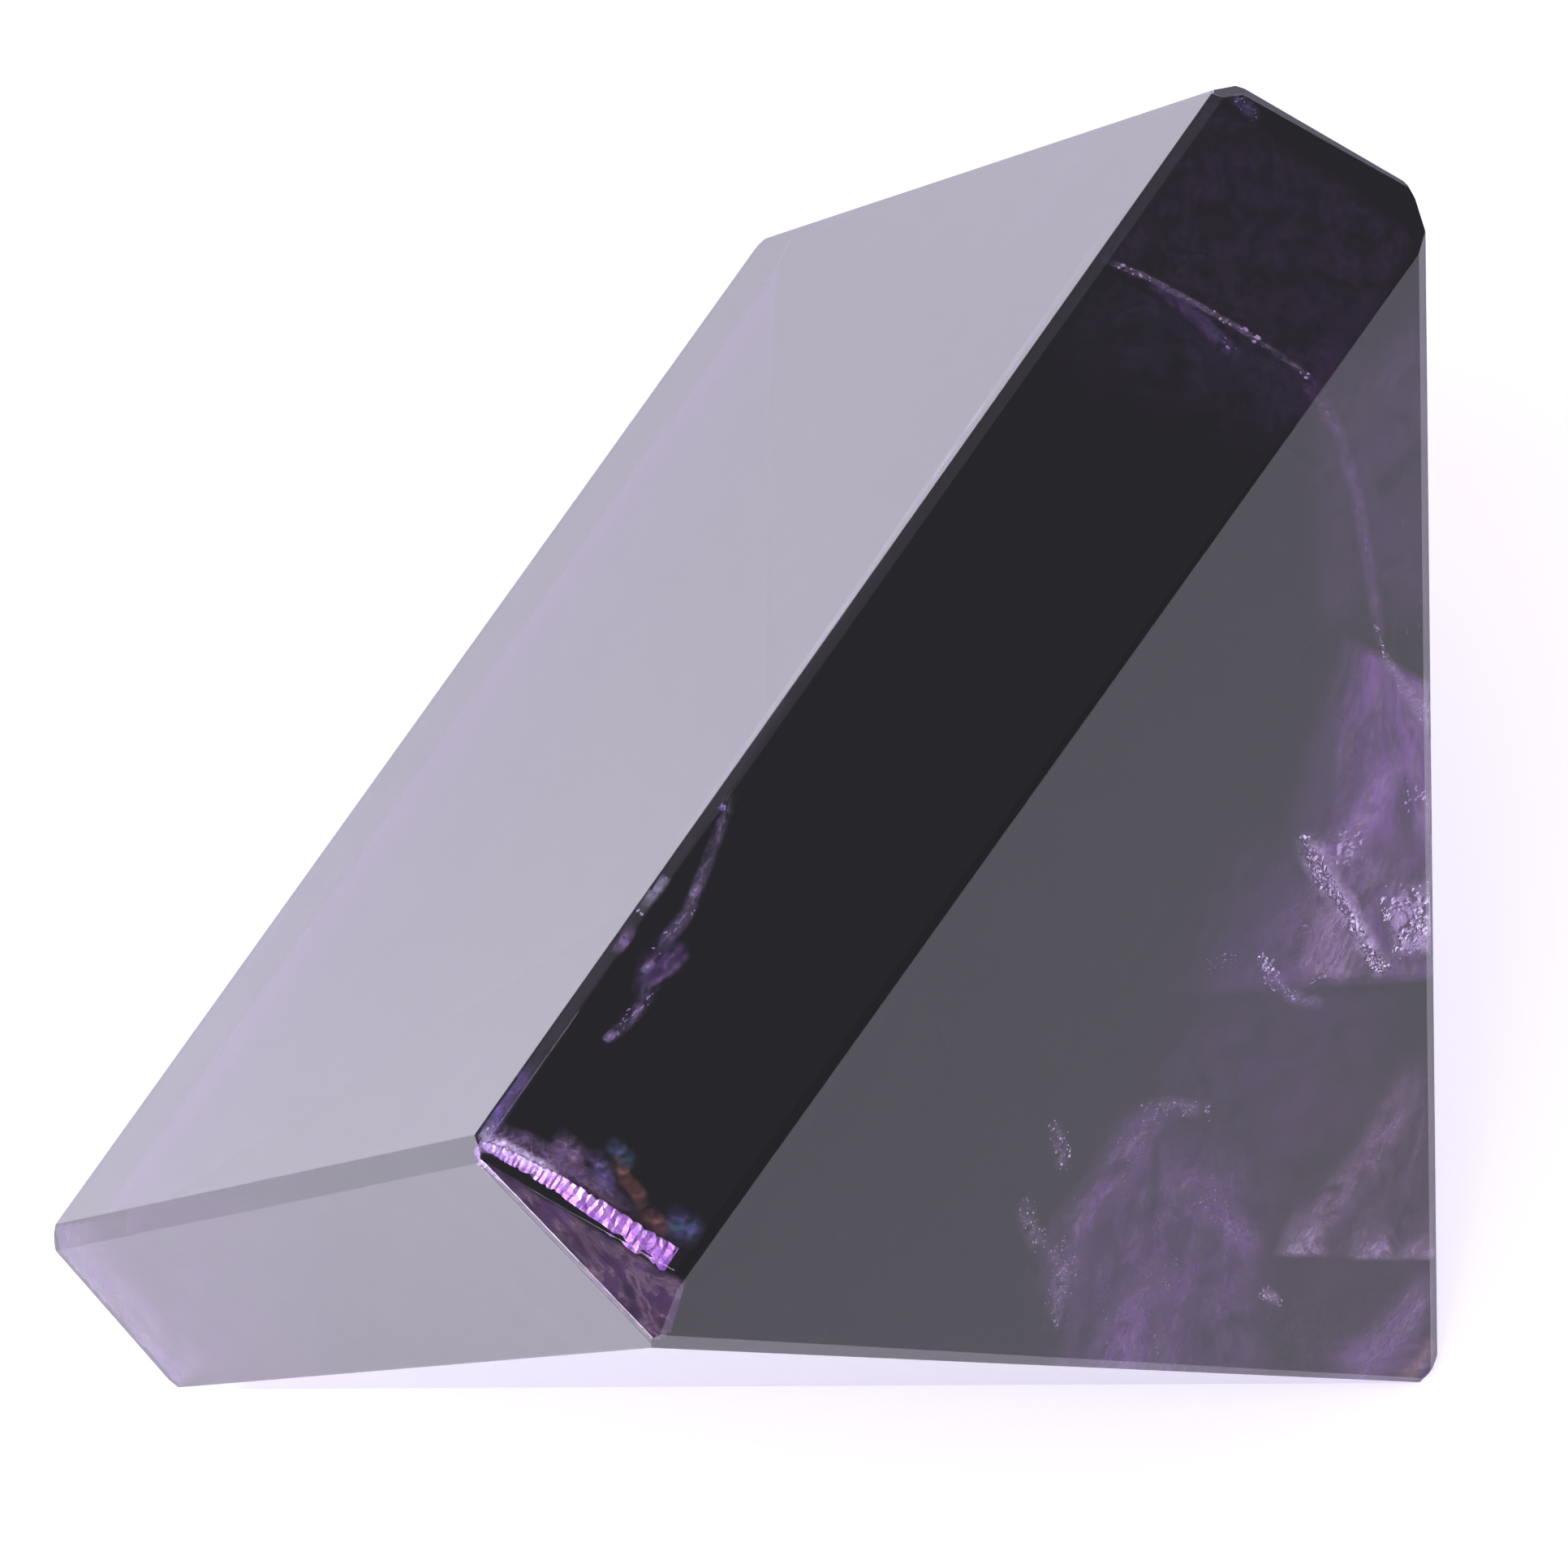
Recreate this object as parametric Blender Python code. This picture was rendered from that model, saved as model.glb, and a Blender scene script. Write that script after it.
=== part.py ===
"""Polished amethyst pyramid: one solid crystal, ground by hand, lying on one of its four slopes.

The stone is ground plane by plane in its own upright frame (square underside on z = 0, apex
up +Z), and is then laid down on its "under" slope. Lying down, the apex points to +X, the
square underside faces -X and upwards, and the lowest slope is flat on z = 0.
"""
import bpy
import bmesh
from math import atan, cos, radians, sin, sqrt, tan
from mathutils import Matrix, Vector

# ---------------------------------------------------- driving dimensions (metres and degrees)
UNDERSIDE = 0.065          # side of the square underside
WALL_LEAN = 7.7            # the low walls widen by this angle towards the girdle
APEX_HEIGHT = 0.0559       # from the underside to where the four slopes would meet
SLOPE = 52.5               # between a slope and the underside

# Where each side faces about the upright axis. A side is named for its place once laid down.
TURN = {"top": 0.0, "front": 90.0, "under": 180.0, "back": 270.0}

# How far each hand-ground wall is off the ideal: (distance, turn, lean).
WALL_ERROR = {
    "top": (-0.00015, -0.35, -0.25),
    "front": (-0.00040, -1.05, 0.65),
    "under": (-0.00060, -0.40, 0.10),
    "back": (0.00105, 0.65, -0.35),
}

# How far each hand-ground slope is off the ideal: (apex height, turn, slope).
SLOPE_ERROR = {
    "top": (-0.0006, 0.35, -0.50),
    "front": (0.0014, 0.75, 0.95),
    "under": (0.0002, 0.05, -0.25),
    "back": (-0.0012, -0.05, -0.20),
}

# Facets that take off the corners of the girdle, and those of the underside: (turn, lean,
# distance). The one at the top front is long: it runs down the whole height of the walls.
CORNER_FACETS = {
    "top front facet": (17.0, 4.9, 0.04039),
    "top back facet": (294.0, -21.0, 0.04880),
    "under front facet": (137.0, -20.0, 0.05080),
    "under back facet": (226.0, -15.0, 0.05100),
    "top back foot": (315.0, 40.0, 0.04510),
    "under front foot": (134.0, 38.0, 0.04480),
    "under back foot": (227.0, 42.0, 0.04545),
}

# Bevels: (face, face, leg on the first, leg on the second, share of both left at the far end).
# A leg is the width that the bevel takes off that face. The far end of an edge is the one
# farther from the front corner at the top of the girdle.
EDGE_BEVELS = (
    ("underside", "top wall", 0.00050, 0.00050, 1.0),
    ("underside", "front wall", 0.00087, 0.00087, 1.0),
    ("underside", "under wall", 0.00050, 0.00050, 1.0),
    ("underside", "back wall", 0.00082, 0.00082, 1.0),
    ("top wall", "back wall", 0.00048, 0.00048, 0.6),
    ("under wall", "front wall", 0.00035, 0.00035, 1.0),
    ("under wall", "back wall", 0.00045, 0.00045, 1.0),
    ("front wall", "top front facet", 0.00045, 0.00010, 1.0),
    ("top wall", "top slope", 0.00042, 0.00030, 0.15),
    ("front wall", "front slope", 0.00012, 0.00012, 1.0),
    ("under wall", "under slope", 0.00030, 0.00030, 1.0),
    ("back wall", "back slope", 0.00030, 0.00030, 0.6),
    ("top slope", "front slope", 0.00068, 0.00068, 0.3),
    ("top slope", "back slope", 0.00075, 0.00030, 1.0),
    ("under slope", "front slope", 0.00020, 0.00020, 1.0),
    ("under slope", "back slope", 0.00040, 0.00040, 1.0),
)

TIP_RADIUS = 0.0028        # the worn apex is rounded
TIP_RING = 8               # facets in the ring that rounds it
TIP_RING_POLAR = 19.0      # angle between the ring's normals and the upright axis

ROUGH_BLOCK = 0.20         # side of the rough block that is ground down
ON_PLANE = 1.0e-6          # a corner this close to a plane lies on it

AMETHYST_COLOUR = (0.11, 0.07, 0.17, 1.0)
AMETHYST_ROUGHNESS = 0.06
AMETHYST_IOR = 1.544


# ------------------------------------------------- planes: (unit normal, distance from origin)
def facing(turn, rise):
    """The unit vector at a compass turn, raised by an angle towards the apex."""
    level = cos(radians(rise))
    return Vector((cos(radians(turn)) * level, sin(radians(turn)) * level, sin(radians(rise))))


def wall_plane(turn, lean, distance):
    """A steep plane that leans outwards, at a distance from the upright axis on z = 0."""
    normal = facing(turn, -lean)
    return normal, distance * cos(radians(lean))


def slope_plane(turn, slope, height):
    """A slope of the pyramid that meets the upright axis at a height."""
    normal = facing(turn, 90.0 - slope)
    return normal, height * normal.z


def main_planes():
    planes = {"underside": (Vector((0.0, 0.0, -1.0)), 0.0)}
    for side, turn in TURN.items():
        distance, turn_error, lean_error = WALL_ERROR[side]
        planes[side + " wall"] = wall_plane(
            turn + turn_error, WALL_LEAN + lean_error, UNDERSIDE / 2 + distance)
        height, turn_error, slope_error = SLOPE_ERROR[side]
        planes[side + " slope"] = slope_plane(
            turn + turn_error, SLOPE + slope_error, APEX_HEIGHT + height)
    for name, (turn, lean, distance) in CORNER_FACETS.items():
        planes[name] = wall_plane(turn, lean, distance)
    return planes


def meeting_point(planes, *names):
    """The point where three of the planes meet."""
    normals, distances = zip(*(planes[name] for name in names))
    return Matrix(normals).inverted() @ Vector(distances)


def tip_planes(planes):
    """Planes that touch a small ball held between the four edges below the apex."""
    front_of_tip = meeting_point(planes, "top slope", "front slope", "back slope")
    rear_of_tip = meeting_point(planes, "under slope", "front slope", "back slope")
    apex = (front_of_tip + rear_of_tip) / 2
    edge_polar = atan(tan(radians(SLOPE)) / sqrt(2))
    ball = apex - Vector((0.0, 0.0, TIP_RADIUS / cos(edge_polar)))
    normals = [facing(0.0, 90.0)]
    for step in range(TIP_RING):
        normals.append(facing(360.0 * step / TIP_RING, 90.0 - TIP_RING_POLAR))
    return [(normal, normal.dot(ball) + TIP_RADIUS) for normal in normals]


# ----------------------------------------------------------------------------------- grinding
def rough_block():
    stone = bmesh.new()
    bmesh.ops.create_cube(stone, size=ROUGH_BLOCK)
    return stone


def grind(stone, plane):
    """Take off everything outside a plane and close the stone with one flat face."""
    normal, distance = plane
    everything = stone.verts[:] + stone.edges[:] + stone.faces[:]
    cut = bmesh.ops.bisect_plane(
        stone, geom=everything, dist=ON_PLANE / 10, plane_co=normal * distance,
        plane_no=normal, clear_outer=True)
    rim = [part for part in cut["geom_cut"] if isinstance(part, bmesh.types.BMEdge)]
    bmesh.ops.edgeloop_fill(stone, edges=rim)


def shared_edge(stone, first, second, near_corner):
    """Both ends of the edge between two planes, the end nearest to a corner first."""
    ends = [
        corner.co.copy() for corner in stone.verts
        if abs(first[0].dot(corner.co) - first[1]) < ON_PLANE
        and abs(second[0].dot(corner.co) - second[1]) < ON_PLANE
    ]
    ends.sort(key=lambda end: (end - near_corner).length)
    return ends[0], ends[-1]


def inward(plane, along, other):
    """The direction in a plane that leads away from its edge with another plane."""
    across = plane[0].cross(along).normalized()
    return -across if across.dot(other[0]) > 0.0 else across


def bevel_plane(ends, first, second, first_leg, second_leg, far_share):
    near, far = ends
    along = (far - near).normalized()
    first_in = inward(first, along, second)
    second_in = inward(second, along, first)
    near_first = near + first_in * first_leg
    far_first = far + first_in * first_leg * far_share
    near_second = near + second_in * second_leg
    normal = (far_first - near_first).cross(near_second - near_first).normalized()
    if normal.dot(first[0]) < 0.0:
        normal = -normal
    return normal, normal.dot(near_first)


def grind_pyramid():
    planes = main_planes()
    stone = rough_block()
    for plane in planes.values():
        grind(stone, plane)
    near_corner = meeting_point(planes, "top wall", "front wall", "top slope")
    for first, second, first_leg, second_leg, far_share in EDGE_BEVELS:
        ends = shared_edge(stone, planes[first], planes[second], near_corner)
        grind(stone, bevel_plane(
            ends, planes[first], planes[second], first_leg, second_leg, far_share))
    for plane in tip_planes(planes):
        grind(stone, plane)
    return stone, planes


# --------------------------------------------------------------------------- laying it down
def lay_down(stone, resting_normal):
    """Turn the resting slope to face -Z with the apex to +X, and centre the stone's box."""
    up = -resting_normal
    apex_way = Vector((0.0, 0.0, 1.0))
    forward = (apex_way - up * apex_way.dot(up)).normalized()
    turn = Matrix((forward, up.cross(forward), up)).to_4x4()
    bmesh.ops.transform(stone, matrix=turn, verts=stone.verts)
    low = Vector([min(corner.co[axis] for corner in stone.verts) for axis in range(3)])
    high = Vector([max(corner.co[axis] for corner in stone.verts) for axis in range(3)])
    centre = (low + high) / 2
    bmesh.ops.translate(stone, vec=(-centre.x, -centre.y, -low.z), verts=stone.verts)


def amethyst_material():
    material = bpy.data.materials.new("amethyst")
    material.use_nodes = True
    shader = material.node_tree.nodes["Principled BSDF"]
    shader.inputs["Base Color"].default_value = AMETHYST_COLOUR
    shader.inputs["Roughness"].default_value = AMETHYST_ROUGHNESS
    shader.inputs["Metallic"].default_value = 0.0
    shader.inputs["IOR"].default_value = AMETHYST_IOR
    return material


def build_pyramid():
    stone, planes = grind_pyramid()
    resting_normal = planes["under slope"][0]
    lay_down(stone, resting_normal)
    mesh = bpy.data.meshes.new("amethyst_pyramid")
    stone.to_mesh(mesh)
    stone.free()
    mesh.materials.append(amethyst_material())
    pyramid = bpy.data.objects.new("amethyst_pyramid", mesh)
    bpy.context.scene.collection.objects.link(pyramid)
    return pyramid


for leftover in list(bpy.data.objects):
    bpy.data.objects.remove(leftover, do_unlink=True)
build_pyramid()
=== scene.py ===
"""Looks of the polished amethyst pyramid: the see-through stone, and what is sealed in it."""
import random
from math import cos, pi, radians, sin, sqrt

import bmesh
import bpy
from mathutils import Matrix, Vector, noise


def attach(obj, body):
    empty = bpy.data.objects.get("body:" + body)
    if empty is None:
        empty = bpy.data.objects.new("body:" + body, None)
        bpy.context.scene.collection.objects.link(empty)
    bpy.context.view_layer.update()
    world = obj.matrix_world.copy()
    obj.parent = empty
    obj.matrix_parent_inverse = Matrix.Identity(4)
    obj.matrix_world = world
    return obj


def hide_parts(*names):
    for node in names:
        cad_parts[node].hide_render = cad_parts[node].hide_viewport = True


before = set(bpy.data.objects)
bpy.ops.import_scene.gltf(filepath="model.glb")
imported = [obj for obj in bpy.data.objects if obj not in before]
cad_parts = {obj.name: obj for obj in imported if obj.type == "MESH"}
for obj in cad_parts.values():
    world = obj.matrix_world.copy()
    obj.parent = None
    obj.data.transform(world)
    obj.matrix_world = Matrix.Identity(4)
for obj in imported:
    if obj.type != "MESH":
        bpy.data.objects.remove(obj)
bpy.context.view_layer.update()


MM = 0.001
NODE = "amethyst_pyramid"
QUARTZ_IOR = 1.544

# ---------------------------------------- camera
# Every pixel in this script is in the frame of the 1932 x 1932 image, (right, down).
PHOTO_SIDE = 1932.0
FOCAL_PIXELS = 16000.0
SENSOR_WIDTH = 36.0
NEAREST_SEEN = 0.01                  # metres
FARTHEST_SEEN = 50.0
CAMERA_PLACE = Vector((247.47, -176.71, 592.05)) * MM
CAMERA_HEADING = 54.749              # degrees, to the left of +Y
CAMERA_TILT = 28.641                 # degrees, up from straight down
CAMERA_ROLL = -22.868

CAMERA_TURN = (
    Matrix.Rotation(radians(CAMERA_HEADING), 3, "Z")
    @ Matrix.Rotation(radians(CAMERA_TILT), 3, "X")
    @ Matrix.Rotation(radians(CAMERA_ROLL), 3, "Z")
)


def make_camera():
    data = bpy.data.cameras.new("camera")
    data.sensor_width = SENSOR_WIDTH
    data.lens = SENSOR_WIDTH * FOCAL_PIXELS / PHOTO_SIDE
    data.clip_start = NEAREST_SEEN
    data.clip_end = FARTHEST_SEEN
    camera = bpy.data.objects.new("camera", data)
    camera.matrix_world = Matrix.Translation(CAMERA_PLACE) @ CAMERA_TURN.to_4x4()
    bpy.context.scene.collection.objects.link(camera)
    bpy.context.scene.camera = camera


def pixel_ray(pixel):
    """The direction in which the camera sees a pixel."""
    right = (pixel[0] - PHOTO_SIDE / 2) / FOCAL_PIXELS
    up = (PHOTO_SIDE / 2 - pixel[1]) / FOCAL_PIXELS
    return (CAMERA_TURN @ Vector((right, up, -1.0))).normalized()


# ---------------------------------------- studio
LIGHT_TINT = Vector((0.870, 0.825, 1.0))     # the photo's light is slightly violet
FLOOR_RADIUS = 6.0                           # metres
FLOOR_SEGMENTS = 96
FLOOR_GAP = 0.1 * MM                         # keeps the floor clear of the stone
FLOOR_ALBEDO = 0.80
FLOOR_ROUGHNESS = 0.8
FLOOR_GLOW = 0.58
HORIZON_GLOW = 0.44
TOP_GLOW = 0.52
HORIZON_ENDS = 0.34                          # heights between which the glow changes, 1 overhead
TOP_STARTS = 0.70

# name, degrees around from +X, degrees up, distance and width in metres, watts
SOFTBOXES = (
    ("left", 193.0, 20.0, 0.14, 0.06, 0.090),
    ("front", 261.0, 18.0, 0.13, 0.05, 0.122),
    ("back", 126.0, 20.0, 0.15, 0.06, 0.045),
    ("right", 350.0, 52.0, 0.35, 0.10, 0.34),
    ("top", 330.0, 75.0, 0.18, 0.06, 0.045),
    ("bevel", 157.7, 41.7, 0.30, 0.14, 0.02),      # what the long top bevel mirrors
)


def make_floor():
    mesh = bpy.data.meshes.new("floor")
    build = bmesh.new()
    bmesh.ops.create_circle(build, cap_ends=True, radius=FLOOR_RADIUS, segments=FLOOR_SEGMENTS)
    bmesh.ops.translate(build, vec=(0, 0, -FLOOR_GAP), verts=build.verts)
    build.to_mesh(mesh)
    build.free()
    board = bpy.data.objects.new("floor", mesh)
    bpy.context.scene.collection.objects.link(board)
    material = bpy.data.materials.new("floor")
    material.use_nodes = True
    shader = material.node_tree.nodes["Principled BSDF"]
    shader.inputs["Base Color"].default_value = (*[FLOOR_ALBEDO] * 3, 1.0)
    shader.inputs["Roughness"].default_value = FLOOR_ROUGHNESS
    shader.inputs["Specular IOR Level"].default_value = 0.0
    shader.inputs["Emission Color"].default_value = (*LIGHT_TINT, 1.0)
    shader.inputs["Emission Strength"].default_value = FLOOR_GLOW
    mesh.materials.append(material)


def add_softbox(name, around, up, distance, width, power):
    """A square soft light that faces the stone."""
    data = bpy.data.lights.new(name, "AREA")
    data.shape = "SQUARE"
    data.size = width
    data.energy = power
    data.color = LIGHT_TINT
    light = bpy.data.objects.new(name, data)
    around, up = radians(around), radians(up)
    away = Vector((cos(up) * cos(around), cos(up) * sin(around), sin(up)))
    turn = away.to_track_quat("Z", "Y").to_matrix().to_4x4()
    light.matrix_world = Matrix.Translation(away * distance) @ turn
    light.visible_camera = False
    bpy.context.scene.collection.objects.link(light)


def make_world():
    """A pale room, a little brighter overhead."""
    world = bpy.data.worlds.new("studio")
    bpy.context.scene.world = world
    world.use_nodes = True
    nodes = world.node_tree.nodes
    links = world.node_tree.links
    coords = nodes.new("ShaderNodeTexCoord")
    split = nodes.new("ShaderNodeSeparateXYZ")
    ramp = nodes.new("ShaderNodeValToRGB")
    links.new(coords.outputs["Generated"], split.inputs[0])
    links.new(split.outputs["Z"], ramp.inputs["Fac"])
    links.new(ramp.outputs["Color"], nodes["Background"].inputs["Color"])
    nodes["Background"].inputs["Strength"].default_value = HORIZON_GLOW
    low, high = ramp.color_ramp.elements
    ramp.color_ramp.interpolation = "EASE"
    low.position = HORIZON_ENDS
    low.color = (*LIGHT_TINT, 1.0)
    high.position = TOP_STARTS
    high.color = (*(LIGHT_TINT * TOP_GLOW / HORIZON_GLOW), 1.0)


# ---------------------------------------- the stone's sides
# Rough outward directions, enough to find each polished side among the node's faces.
SIDES = {
    "underside": Vector((-0.79, 0.0, 0.61)),
    "top bevel": Vector((-0.19, 0.0, 0.98)),
    "top wall": Vector((0.50, 0.0, 0.86)),
    "top slope": Vector((0.97, 0.0, 0.25)),
    "front wall": Vector((-0.10, -0.99, 0.10)),
    "front slope": Vector((0.46, -0.80, -0.37)),
    "front facet": Vector((0.52, -0.29, 0.81)),
    "back wall": Vector((-0.09, 0.99, 0.09)),
    "back slope": Vector((0.48, 0.79, -0.38)),
    "under wall": Vector((-0.71, 0.0, -0.70)),
}
UNSEEN = ("front slope", "back wall", "back slope", "under wall")
LEAST_COVER = 0.12 * MM              # stone left over anything sealed in it
EDGE_RADIUS = 0.10 * MM              # every edge is a little rounded by the polishing
JOIN_WITHIN = 0.001 * MM
SAME_SIDE = radians(0.05)            # faces that turn less than this are one flat side
SAME_CURVE = radians(0.3)            # and on the rounded stone, one face of its curve
POLE_SCALE = 1000.0                  # keeps the numbers of the reciprocal solid large enough


def sides_of(mesh):
    """The centre and outward normal of every flat side."""
    build = bmesh.new()
    build.from_mesh(mesh)
    bmesh.ops.remove_doubles(build, verts=build.verts, dist=JOIN_WITHIN)
    bmesh.ops.dissolve_limit(build, angle_limit=SAME_SIDE, verts=build.verts, edges=build.edges)
    found = [(face.calc_center_median(), face.normal.copy()) for face in build.faces]
    build.free()
    return found


walls = sides_of(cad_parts[NODE].data)
sides = {
    name: max(walls, key=lambda wall: wall[1].dot(rough))
    for name, rough in SIDES.items()
}


def hull_of(points):
    """The convex hull of the points, as a bmesh."""
    build = bmesh.new()
    for point in points:
        build.verts.new(point)
    hull = bmesh.ops.convex_hull(build, input=build.verts)
    spare = set(hull["geom_interior"] + hull["geom_unused"])
    corners = [item for item in spare if isinstance(item, bmesh.types.BMVert)]
    bmesh.ops.delete(build, geom=corners, context="VERTS")
    bmesh.ops.recalc_face_normals(build, faces=build.faces)
    return build


def corners_inside(depth):
    """Corners of the solid at a depth below every side, each with the normals that meet there."""
    middle = sum((centre for centre, normal in walls), Vector()) / len(walls)
    normals = [normal for centre, normal in walls]
    reaches = [((centre - middle).dot(normal) - depth) / MM for centre, normal in walls]
    poles = [normal * (POLE_SCALE / reach) for normal, reach in zip(normals, reaches)]
    dual = hull_of(poles)
    found = []
    for face in dual.faces:
        met = [min(range(len(poles)), key=lambda i: (poles[i] - vert.co).length) for vert in face.verts]
        away = face.normal * (POLE_SCALE / face.normal.dot(face.verts[0].co))
        found.append((middle / MM + away, [normals[i] for i in met]))
    dual.free()
    return found


def rounded_stone():
    """The node's shape, with every edge and corner rounded as by a small ball rolled inside it."""
    points = []
    radius = EDGE_RADIUS / MM
    for corner, normals in corners_inside(EDGE_RADIUS):
        between = [first + second for first, second in zip(normals, normals[1:] + normals[:1])]
        ways = normals + between + [sum(normals, Vector())]
        points += [corner + way.normalized() * radius for way in ways]
    build = hull_of(points)
    bmesh.ops.scale(build, vec=(MM, MM, MM), verts=build.verts)
    bmesh.ops.remove_doubles(build, verts=build.verts, dist=JOIN_WITHIN)
    bmesh.ops.dissolve_limit(build, angle_limit=SAME_CURVE, verts=build.verts, edges=build.edges)
    mesh = bpy.data.meshes.new("amethyst_body")
    build.to_mesh(mesh)
    build.free()
    return mesh


def cover_over(place):
    """How much stone is left between a place and the nearest side."""
    return min((centre - place).dot(normal) for centre, normal in walls)


def bent_into_stone(way, normal):
    """The direction of a ray after it has entered the stone."""
    ratio = 1.0 / QUARTZ_IOR
    facing = -way.dot(normal)
    inner = sqrt(1.0 - ratio * ratio * (1.0 - facing * facing))
    return way * ratio + normal * (ratio * facing - inner)


def under(side, pixel, depth):
    """The place at a depth in mm below a side that shows at a pixel."""
    centre, normal = sides[side]
    way = pixel_ray(pixel)
    reach = (centre - CAMERA_PLACE).dot(normal) / way.dot(normal)
    bent = bent_into_stone(way, normal)
    return CAMERA_PLACE + way * reach - bent * (depth * MM / bent.dot(normal))


def behind(side, spot, depth):
    """The place at a depth in mm behind a side, by mm along and up it from its centre."""
    centre, normal = sides[side]
    along = Vector((0, 0, 1)).cross(normal).normalized()
    up = normal.cross(along)
    return centre + (along * spot[0] + up * spot[1] - normal * depth) * MM


# ---------------------------------------- node helpers
def new_material(name):
    """A material, its node tree and its shader."""
    material = bpy.data.materials.new(name)
    material.use_nodes = True
    return material, material.node_tree, material.node_tree.nodes["Principled BSDF"]


def spread_stops(colours, start, span):
    """Ramp stops, with the colours spread evenly over a span."""
    return [(start + span * i / (len(colours) - 1), colour) for i, colour in enumerate(colours)]


def add_ramp(tree, source, stops):
    """A colour ramp fed by a socket. A stop is a position and a colour or a grey level."""
    ramp = tree.nodes.new("ShaderNodeValToRGB")
    ramp.color_ramp.interpolation = "EASE"
    elements = ramp.color_ramp.elements
    while len(elements) < len(stops):
        elements.new(0.5)
    for element, (position, colour) in zip(elements, stops):
        element.position = position
        element.color = (*colour, 1.0) if isinstance(colour, tuple) else (*[colour] * 3, 1.0)
    tree.links.new(source, ramp.inputs["Fac"])
    return ramp.outputs["Color"]


# Kinds of noise: detail, roughness and distortion.
ZONE_NOISE = (3.0, 0.5, 0.6)
CLOUD_NOISE = (5.0, 0.6, 0.8)
GRAIN_NOISE = (4.0, 0.6, 0.0)
HUE_NOISE = (3.0, 0.5, 0.4)
FILM_NOISE = (3.0, 0.6, 0.4)


def add_noise(tree, coords, scale, kind):
    """Cloudy noise; scale is a number, or three for streaks."""
    detail, roughness, distortion = kind
    stretch = tree.nodes.new("ShaderNodeMapping")
    stretch.inputs["Scale"].default_value = scale if isinstance(scale, tuple) else (scale,) * 3
    clouds = tree.nodes.new("ShaderNodeTexNoise")
    clouds.inputs["Scale"].default_value = 1.0
    clouds.inputs["Detail"].default_value = detail
    clouds.inputs["Roughness"].default_value = roughness
    clouds.inputs["Distortion"].default_value = distortion
    tree.links.new(coords, stretch.inputs["Vector"])
    tree.links.new(stretch.outputs["Vector"], clouds.inputs["Vector"])
    return clouds.outputs["Fac"]


def product(tree, first, second):
    """A socket times another one, or times a number."""
    node = tree.nodes.new("ShaderNodeMath")
    node.operation = "MULTIPLY"
    tree.links.new(first, node.inputs[0])
    if isinstance(second, float):
        node.inputs[1].default_value = second
    else:
        tree.links.new(second, node.inputs[1])
    return node.outputs[0]


def object_coords(tree):
    return tree.nodes.new("ShaderNodeTexCoord").outputs["Object"]


def sheet_coords(tree):
    """Millimetres along and across a sheet, kept in its UV map."""
    return tree.nodes.new("ShaderNodeTexCoord").outputs["UV"]


# ---------------------------------------- materials
# How strongly the violet stone takes up red, green and blue light, per mm.
ABSORPTION = Vector((0.155, 0.275, 0.125))
ABSORPTION_HEADROOM = 1.4            # keeps every part of the absorption colour above black
ZONE_SCALE = (40.0, 40.0, 260.0)     # growth zones are about 25 mm wide and 4 mm high
ZONE_TINT = (0.93, 0.88, 0.98)


def amethyst_material():
    """Clear polished quartz: growth zones tint what passes the skin, and the depth absorbs it."""
    material, tree, shader = new_material("amethyst")
    place = object_coords(tree)
    zones = add_noise(tree, place, ZONE_SCALE, ZONE_NOISE)
    tint = add_ramp(tree, zones, ((0.35, (1.0, 1.0, 1.0)), (0.65, ZONE_TINT)))
    tree.links.new(tint, shader.inputs["Base Color"])
    shader.inputs["Roughness"].default_value = 0.0
    shader.inputs["IOR"].default_value = QUARTZ_IOR
    shader.inputs["Transmission Weight"].default_value = 1.0
    volume = tree.nodes.new("ShaderNodeVolumeAbsorption")
    density = ABSORPTION_HEADROOM * max(ABSORPTION)
    volume.inputs["Density"].default_value = density / MM
    volume.inputs["Color"].default_value = (*[1 - part / density for part in ABSORPTION], 1.0)
    tree.links.new(volume.outputs["Volume"], tree.nodes["Material Output"].inputs["Volume"])
    return material


# Kinds of veil: the noise levels at which it opens and is full, and how much its grain leaves.
FOG = (0.10, 0.75, 0.75)             # soft and nearly everywhere
WASH = (0.00, 0.90, 0.70)            # everywhere, a little uneven
WISP = (0.30, 0.62, 0.35)            # torn, with holes
CREST = (0.25, 0.65, 0.60)           # torn, with little grain
SHREDS = (0.25, 0.72, 0.30)          # soft, with much grain
BRUSHED = (0.05, 0.65, 0.45)         # soft, with some grain
TUFTS = (0.22, 0.75, 0.50)           # in soft tufts
GRAIN_FINENESS = 5                   # how much finer its grain is than its clouds
HUE_FINENESS = 1.7                   # and its hues
VEIL_ROUGHNESS = 0.45
METALLIC_GLOSS = 0.35                # how much less rough a metallic veil is


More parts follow.
